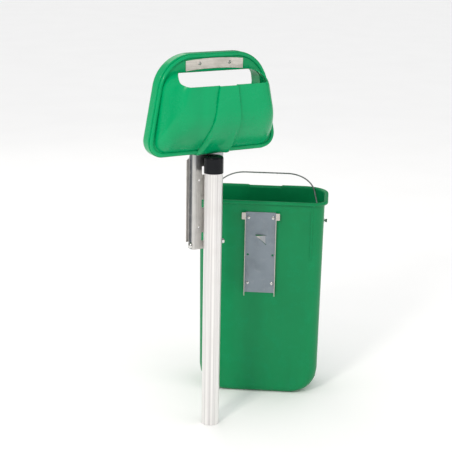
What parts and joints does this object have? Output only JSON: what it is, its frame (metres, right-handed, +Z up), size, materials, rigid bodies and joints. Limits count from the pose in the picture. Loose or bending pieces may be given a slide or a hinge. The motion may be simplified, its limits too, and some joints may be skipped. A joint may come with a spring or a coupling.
{
  "type": "dog waste bin",
  "caption": "Post with a bag dispenser head and a bracket channel, and an open tub with a carrying bail that hangs on it.",
  "frame": {"origin": "on the post's axis at its foot", "axes": "+Z up along the post, the head and bracket face -Y, X across them"},
  "size_m": [0.6486, 0.4396, 1.015],
  "materials": {
    "aluminium_tube": "drawn and anodised, satin",
    "black_cap": "gloss",
    "stainless_sheet": "brushed along the sheet",
    "stainless_fastener": "smooth",
    "black_spacer": "matt",
    "green_moulding": "gloss moulding",
    "green_tub": "satin moulding",
    "brass_insert": "knurled",
    "bag_film": "folded thin film",
    "bail_steel": "galvanised wire"
  },
  "bodies": {
    "post": {"post_tube": "aluminium_tube", "post_cap": "black_cap", "bracket_channel": "stainless_sheet", "post_screws": "stainless_fastener", "saddle_spacers": "black_spacer", "cross_bolt": "stainless_fastener", "cross_bolt_nut": "stainless_fastener", "head_front_shell": "green_moulding", "head_back_cover": "green_moulding", "head_bolts": "stainless_fastener", "head_inserts": "brass_insert", "cover_screws": "stainless_fastener", "bag_shelf": "stainless_sheet", "bag_pack": "bag_film", "bag_holder_plate": "stainless_sheet", "holder_screws": "stainless_fastener"},
    "tub": {"bin_shell": "green_tub", "hanger_plate": "stainless_sheet", "hanger_rivets": "stainless_fastener", "rivet_washers": "stainless_fastener", "bail_eyelets": "stainless_fastener"},
    "bail": {"bail_wire": "bail_steel", "bail_end_caps": "bail_steel"}
  },
  "joints": [
    {"name": "bin_lift", "type": "slide", "parent": "post", "child": "tub", "axis": [0, 0, 1], "range_m": [0, 0.25]},
    {"name": "bail_swing", "type": "hinge", "parent": "tub", "child": "bail", "pos_m": [-0.2638, -0.17858, 0.508], "axis": [-0.8192, 0.5736, 0], "range_deg": [0, 100]}
  ]
}
